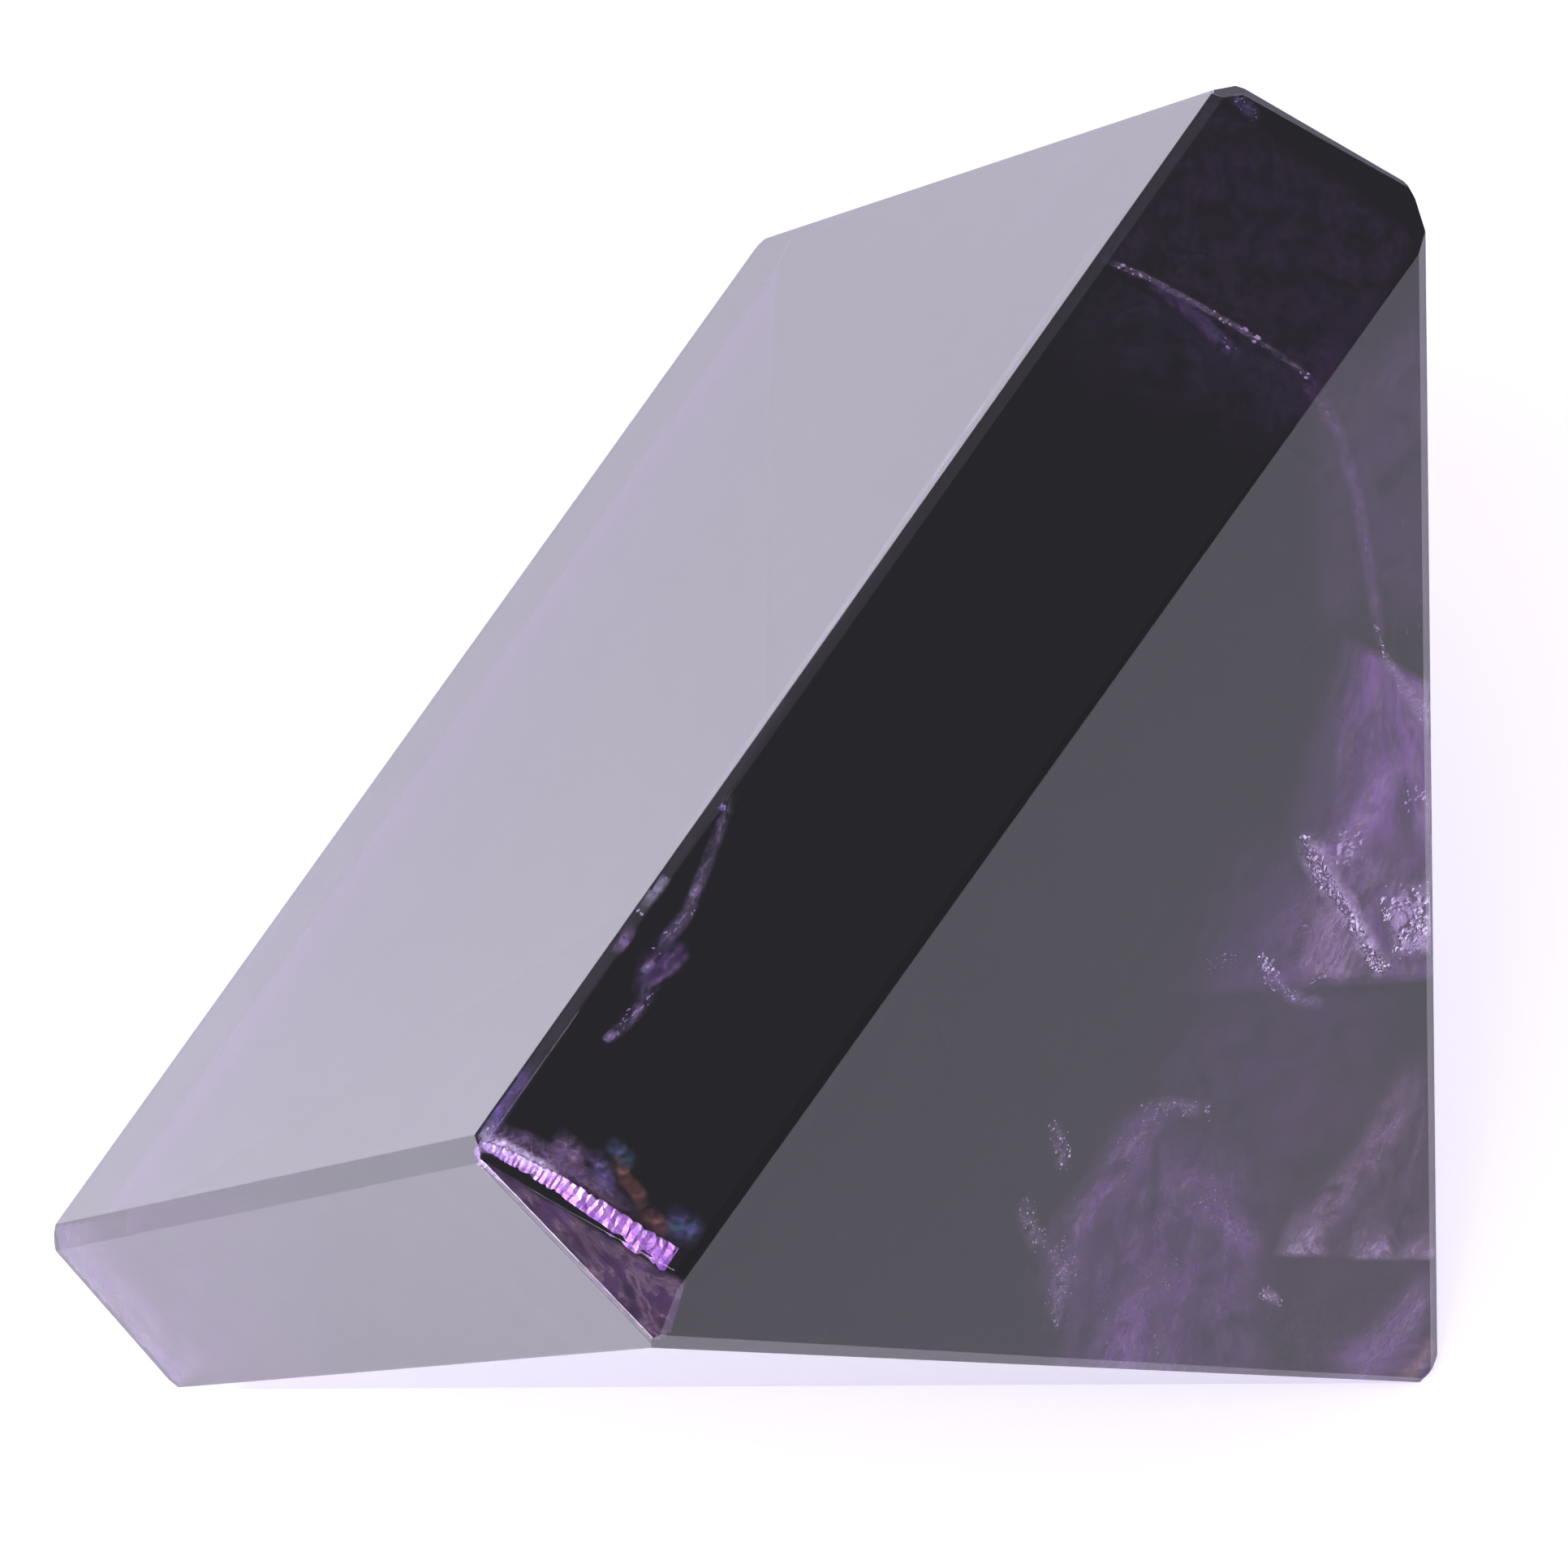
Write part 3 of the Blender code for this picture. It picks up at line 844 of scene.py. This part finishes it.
def add_tip_veils():
    """The pale band with a straight foot, the veil that rises from it, and the glow at the tip."""
    side = "top slope"
    humps = {
        "pale_hump": ((1590, 1486, 1.0), (1634, 1470, 1.0), (1640, 1550, 0.9), (1564, 1550, 0.9)),
        "pale_ridge": ((1668, 1496, 1.0), (1716, 1498, 1.0), (1734, 1554, 0.9), (1650, 1554, 0.9)),
        "pale_end": ((1724, 1520, 1.0), (1785, 1512, 1.0), (1785, 1554, 0.9), (1716, 1554, 0.9)),
    }
    for name, corners in humps.items():
        add_veil(name, Patch(side, corners), (PALE, WHITE), 1.0, (0.8, 0.8),
                 (0.30, 0.30, 0.85, 0.04), TUFTS, metallic=0.35)
    rise_corners = ((1730, 1280, 1.3), (1785, 1280, 1.3), (1785, 1553, 1.1), (1566, 1553, 1.1))
    rise = Patch(side, rise_corners, 0.2, 13)
    add_veil("tip_veil", rise, (PLUM, PINK, PALE), 0.26, (0.7, 0.5), (0.35, 0.05, 0.25, 0.02), SHREDS)
    ridge_path = ((1580, 1540, 1.1), (1640, 1484, 1.1), (1690, 1424, 1.1), (1724, 1362, 1.1),
                  (1752, 1296, 1.2))
    ridge = Strand(side, ridge_path, (66, 52), 0.1)
    add_veil("tip_ridge", ridge, (LAVENDER, PINK, PALE), 0.50, (0.8, 0.9), (0.15, 0.35, 0.40, 0.40), CREST)
    corner_path = ((1650, 1716, 1.1), (1700, 1660, 1.1), (1740, 1612, 1.1), (1778, 1556, 1.0))
    corner = Strand(side, corner_path, (90, 60), 0.1, 0.1, 15)
    add_veil("tip_glow", corner, (MAUVE, PALE), 0.60, (0.3, 0.9), (0.25, 0.35, 0.45, 0.45), BRUSHED)
    warm_path = ((1715, 1700, 0.5), (1742, 1688, 0.5), (1760, 1668, 0.5), (1764, 1640, 0.5))
    warm = Strand(side, warm_path, (26, 18))
    add_veil("warm_tip", warm, (ORANGE, PINK), 0.60, (0.8, 0.8), (0.30, 0.30, 0.40, 0.30))


def add_wall_inclusions():
    """What shows through the top wall, from the far haze and the healed line to the strands."""
    side = "top wall"
    film = film_material("wall_film", (LAVENDER, PALE, WHITE), 900.0, 0.1, 0.4)
    blue = film_material("blue_film", (BLUE, LAVENDER, ICE), 900.0, 0.1, 0.4)

    haze_corners = ((1500, 110, 1.5), (1760, 290, 1.5), (1640, 500, 1.5), (1350, 320, 1.5))
    haze = Patch(side, haze_corners, 0.4, 17)
    add_veil("far_haze", haze, (BLUE, VIOLET, PLUM, BLUE), 0.13, (0.7, 0.7), (0.08, 0.08, 0.10, 0.05),
             SHREDS)
    near_corners = ((1352, 325, 1.0), (1632, 478, 1.0), (1560, 600, 3.0), (1250, 480, 3.0))
    near = Patch(side, near_corners, 0.3, 18)
    add_veil("healed_plane", near, (PLUM, BLUE, LAVENDER), 0.12, (0.5, 0.5), (0.10, 0.10, 0.02, 0.70),
             SHREDS)
    spot = Strand(side, ((1514, 108, 0.5), (1532, 124, 0.5), (1552, 150, 0.5)), (34, 18), 0.1)
    add_veil("far_spot", spot, (BLUE, LAVENDER), 0.5, (0.8, 0.8), (0.30, 0.40, 0.40, 0.40), WISP)
    add_flakes("far_specks", [spot], 24, (0.05, 0.25), (0.4, 0.8), 0.3, blue, 31)

    upper_path = ((1356, 318, 0.7), (1414, 342, 0.7), (1442, 357, 0.7), (1493, 385, 0.7),
                  (1526, 404, 0.7), (1572, 434, 0.7), (1624, 472, 0.7))
    upper = Strand(side, upper_path, (10, 9), 0.1)
    add_veil("healed_line", upper, (LAVENDER, PALE, WHITE), 0.42, (1.0, 1.6), (0.05, 0.10, 0.30, 0.30), WISP)
    lower_path = ((1414, 345, 0.7), (1446, 370, 0.7), (1480, 396, 0.7), (1512, 427, 0.8),
                  (1536, 454, 0.8))
    lower = Strand(side, lower_path, (18, 26), 0.2)
    add_flakes("line_flakes", [upper], 46, (0.16, 0.42), (0.4, 0.8), 0.20, film, 32, 0.0)
    add_flakes("line_glints", [lower], 60, (0.14, 0.36), (0.3, 0.7), 0.20, blue, 33, 0.0)
    add_veil("line_haze", lower, (BLUE, MAUVE), 0.30, (1.5, 1.5), (0.10, 0.40, 0.30, 0.40), WISP)

    long_path = ((905, 976, 0.6), (892, 1007, 0.6), (879, 1041, 0.6), (869, 1069, 0.6),
                 (857, 1098, 0.6), (846, 1126, 0.6), (826, 1152, 0.7), (806, 1176, 0.7))
    tail_path = ((806, 1206, 0.8), (790, 1238, 0.8), (770, 1262, 0.8), (746, 1284, 0.8))
    strands = {
        "long_strand": Strand(side, long_path, (17, 24), 0.2),
        "tail_strand": Strand(side, tail_path, (28, 16), 0.2),
    }
    for name, strand in strands.items():
        add_veil(name, strand, (ICE, PALE, ICE), 0.45, (0.8, 1.4), (0.12, 0.12, 0.45, 0.45), WISP)
    patch_corners = ((786, 1170, 0.8), (852, 1154, 0.9), (846, 1196, 0.9), (774, 1232, 0.8))
    patch = Patch(side, patch_corners, 0.1, 41)
    add_veil("violet_patch", patch, (BLUE, MAUVE, LAVENDER), 0.62, (0.7, 0.7), (0.30, 0.30, 0.35, 0.35),
             TUFTS)
    fold = Strand(side, ((850, 1172, 0.6), (828, 1196, 0.6), (798, 1216, 0.6)), (13, 10), 0.1)
    add_veil("bright_fold", fold, (MAUVE, PALE), 0.75, (0.7, 0.7), (0.25, 0.25, 0.45, 0.45), TUFTS,
             metallic=0.4)
    both = list(strands.values())
    add_flakes("strand_flakes", both, 60, (0.14, 0.40), (0.2, 0.45), 0.20, blue, 34, 0.0)
    knots = {
        "upper_knot": (Strand(side, ((863, 1088, 0.5), (850, 1108, 0.5)), (14, 12)), WHITE),
        "middle_knot": (Strand(side, ((805, 1183, 0.5), (792, 1200, 0.5)), (13, 13)), WHITE),
        "lower_knot": (Strand(side, ((792, 1238, 0.5), (780, 1254, 0.5)), (9, 9)), PALE),
        "last_knot": (Strand(side, ((758, 1270, 0.5), (744, 1284, 0.5)), (14, 12)), PALE),
    }
    for name, (knot, hue) in knots.items():
        add_veil(name, knot, (LAVENDER, hue), 0.95, (1.0, 1.0), (0.45, 0.45, 0.45, 0.45),
                 BRUSHED, metallic=0.5)


def add_top_bevel():
    """The long top bevel: a faint veil along it, a violet bruise and a pale end at the near corner,
    a glint and a bruise a quarter of the way along it, and chips at both."""
    side = "top bevel"
    film = film_material("bevel_film", (LAVENDER, ICE, WHITE), 900.0, 0.9, 0.25)
    whole_path = ((596, 1400, 0.3), (900, 955, 0.3), (1204, 508, 0.3), (1492, 92, 0.3))
    whole = Strand(side, whole_path, (22, 22))
    add_veil("bevel_veil", whole, (LAVENDER, PALE), 0.05, (0.6, 1.5), (0.01, 0.01, 0.05, 0.05))
    near_path = ((588, 1410, 0.3), (612, 1374, 0.3), (640, 1334, 0.3), (662, 1302, 0.3))
    near = Strand(side, near_path, (26, 14))
    add_veil("bevel_corner", near, (BLUE, DUSK, MAUVE), 0.95, (0.9, 0.9), (0.05, 0.50, 0.10, 0.10), TUFTS)
    glint_path = ((820, 1078, 0.25), (811, 1092, 0.25), (800, 1108, 0.25), (786, 1126, 0.25))
    glint = Strand(side, glint_path, (18, 14))
    add_veil("bevel_glint", glint, (WHITE, ICE), 0.95, (0.8, 0.8), (0.20, 0.60, 0.30, 0.30), BRUSHED,
             metallic=0.7)
    pink_path = ((780, 1140, 0.25), (768, 1160, 0.25), (756, 1176, 0.25))
    pink = Strand(side, pink_path, (16, 14))
    add_veil("bevel_bruise", pink, (MAUVE, LAVENDER), 0.90, (0.8, 0.8), (0.45, 0.45, 0.30, 0.30), BRUSHED,
             metallic=0.2)
    chips = [glint, Strand(side, ((588, 1410, 0.25), (606, 1384, 0.25)), (16, 16))]
    add_flakes("bevel_chips", chips, 30, (0.15, 0.40), (0.4, 0.8), 0.12, film, 36)
    end = Strand(side, ((586, 1412, 0.25), (596, 1400, 0.25), (612, 1378, 0.25)), (24, 20))
    add_veil("bevel_end", end, (PALE, WHITE), 1.0, (0.8, 0.8), (0.10, 0.60, 0.25, 0.25), BRUSHED)


def add_foot_crack():
    """The bright pleated crack at the foot of the top wall, its rainbow film, and the veil behind
    the ground-off corner."""
    side = "top wall"
    pleat = film_material("pleat_film", (MAUVE, PALE, MAUVE, WHITE, MAUVE, PALE), 1300.0, 1.0, 0.45)
    fan_path = ((598, 1411, 0.8), (640, 1432, 1.0), (690, 1460, 1.1), (760, 1506, 1.2),
                (834, 1555, 1.3))
    fan = Strand(side, fan_path, (13, 31), 1.1)
    add_pleats("pleated_crack", fan, 58, 0.035, pleat, 37)
    mist_path = ((600, 1392, 1.2), (653, 1410, 1.3), (702, 1438, 1.4), (762, 1479, 1.4),
                 (804, 1506, 1.4))
    mist = Strand(side, mist_path, (34, 26), 0.1)
    add_veil("crack_mist", mist, (LAVENDER, PALE, PINK), 0.90, (0.9, 0.9), (0.05, 0.55, 0.50, 0.10), TUFTS)
    foam_path = ((592, 1404, 0.5), (626, 1418, 0.5), (666, 1438, 0.6), (706, 1462, 0.6))
    foam = Strand(side, foam_path, (30, 22), 0.1)
    add_veil("crack_foam", foam, (LAVENDER, WHITE, PALE), 0.95, (1.4, 1.4), (0.05, 0.50, 0.40, 0.40),
             TUFTS, metallic=0.5)
    films = {
        "grey_film": (((680, 1400, 1.2), (700, 1416, 1.2), (722, 1438, 1.2)), 40, (LAVENDER, PALE, RUST)),
        "violet_film": (((728, 1416, 0.6), (742, 1442, 0.6), (754, 1470, 0.6)), 28, (BLUE, LAVENDER)),
        "green_film": (((748, 1406, 0.5), (764, 1420, 0.5), (784, 1436, 0.5)), 28, (TEAL, BLUE)),
        "rust_film": (((754, 1424, 0.5), (768, 1444, 0.5), (776, 1466, 0.5)), 22, (RUST, ORANGE)),
        "orange_film": (((774, 1456, 0.5), (786, 1470, 0.5), (796, 1488, 0.5)), 24, (ORANGE, RUST)),
        "red_film": (((792, 1492, 0.5), (808, 1505, 0.5), (826, 1520, 0.5)), 28, (RUST, ORANGE)),
        "sea_film": (((818, 1498, 0.5), (842, 1513, 0.5), (866, 1524, 0.5)), 48, (TEAL, BLUE, TEAL)),
    }
    for name, (film_path, width, hues) in films.items():
        film = Strand(side, film_path, (width, width), 0.1)
        add_veil(name, film, hues, 0.75, (0.8, 0.8), (0.35, 0.35, 0.45, 0.45), TUFTS, metallic=0.3)

    facet_corners = ((596, 1430, 0.5), (850, 1582, 0.7), (824, 1668, 0.7), (690, 1545, 0.5))
    facet = Patch("front facet", facet_corners, 0.1, 27)
    add_veil("facet_veil", facet, (PLUM, VIOLET, PINK, PLUM), 0.60, (0.5, 0.5), (0.02, 0.04, 0.10, 0.02),
             WASH)


def add_corner_veils():
    """The glow and the violet tint in the thin stone at the left corner, a pale veil that paints the
    highlight along the upper edge of the underside, and the haze along its far left edge."""
    glow_path = ((74, 1498, 0.9), (110, 1552, 0.9), (165, 1622, 0.9), (236, 1705, 0.9))
    glow = Strand("front wall", glow_path, (60, 110), 0.0, 0.1, 28)
    add_veil("corner_veil", glow, (MAUVE, PALE), 0.42, (0.3, 0.3), (0.05, 0.05, 0.55, 0.10))
    tint_corners = ((80, 1500, 1.2), (430, 1440, 1.6), (480, 1712, 1.6), (236, 1712, 1.2))
    tint = Patch("front wall", tint_corners, 0.1, 62)
    add_veil("corner_tint", tint, (VIOLET, PLUM, VIOLET), 0.22, (0.2, 0.2), (0.05, 0.75, 0.20, 0.05))
    # Painted highlight: a pale veil just under the underside's upper edge draws the bright line along that
    # edge.
    edge_highlight_path = ((1457, 148, 0.2), (1317, 349, 0.2), (1177, 549, 0.2), (1035, 755, 0.2),
                 (890, 960, 0.2), (748, 1163, 0.2))
    edge_highlight = Strand("underside", edge_highlight_path, (8, 8))
    add_veil("painted_edge_highlight", edge_highlight, (PALE, WHITE), 0.45, (0.4, 1.0), (0.40, 0.40, 0.45, 0.40))
    edge_corners = ((920, 280, 1.4), (1010, 300, 1.4), (180, 1500, 1.4), (70, 1480, 1.4))
    edge = Patch("underside", edge_corners, 0.1, 29)
    add_veil("edge_veil", edge, (LAVENDER, PALE), 0.08, (0.06, 0.15), (0.10, 0.70, 0.05, 0.05))


# Corners on the sides that don't show, in mm along and up them from their centres.
BACK_SLOPE_CLOUD = ((-14, 12), (10, 16), (12, -8), (-10, -10))
BACK_WALL_CLOUD = ((-24, 4), (-2, 3), (-4, -4), (-26, -4))
FRONT_SLOPE_CLOUD = ((-6, 10), (12, 6), (10, -10), (-8, -8))
UNDER_WALL_CLOUD = ((4, 3), (26, 3), (24, -3), (6, -3))
UNSEEN_DEPTHS = (1.3, 1.8, 2.3)      # mm below the side, one for each layer of a cloud
UNSEEN_STRENGTH = 0.24
UNSEEN_WARP = 0.5                    # mm
UNSEEN_SEED = 30
UNSEEN_FADE = (0.25, 0.25, 0.25, 0.25)


def at_depth(corners, depth):
    return [(*corner, depth) for corner in corners]


def add_unseen_veils():
    """Guessed: the sides that don't show in the photo hold clouds and flakes like the others."""
    film = film_material("unseen_film", (LAVENDER, PALE, WHITE), 900.0, 0.8, 0.25)
    clouds = {
        "back_cloud": ("back slope", BACK_SLOPE_CLOUD, (0.25, 0.15), FOG),
        "back_wisps": ("back wall", BACK_WALL_CLOUD, (0.2, 0.4), WISP),
        "foot_cloud": ("front slope", FRONT_SLOPE_CLOUD, (0.2, 0.2), FOG),
        "under_wisps": ("under wall", UNDER_WALL_CLOUD, (0.2, 0.5), WISP),
    }
    for name, (side, corners, streak, kind) in clouds.items():
        for layer, depth in enumerate(UNSEEN_DEPTHS):
            sheet = Patch(side, at_depth(corners, depth), UNSEEN_WARP, UNSEEN_SEED + layer)
            add_veil(f"{name}_{layer}", sheet, FOG_HUES, UNSEEN_STRENGTH, streak, UNSEEN_FADE, kind)
    back = Patch("back slope", at_depth(BACK_SLOPE_CLOUD, 1.0), 0.2, 45)
    add_flakes("back_flakes", [back], 160, (0.10, 0.6), (0.1, 0.5), 0.12, film, 38, 0.15)
    low = Patch("under wall", at_depth(UNDER_WALL_CLOUD, 0.9), 0.2, 46)
    add_flakes("under_flakes", [low], 90, (0.10, 0.4), (0.2, 0.6), 0.12, film, 39, 0.1)


make_camera()
make_floor()
make_world()
for softbox in SOFTBOXES:
    add_softbox(*softbox)
make_stone()
add_upper_cloud()
add_bright_patch()
add_lower_fog()
add_tip_veils()
add_wall_inclusions()
add_top_bevel()
add_foot_crack()
add_corner_veils()
add_unseen_veils()

bpy.context.scene.view_settings.view_transform = "Standard"
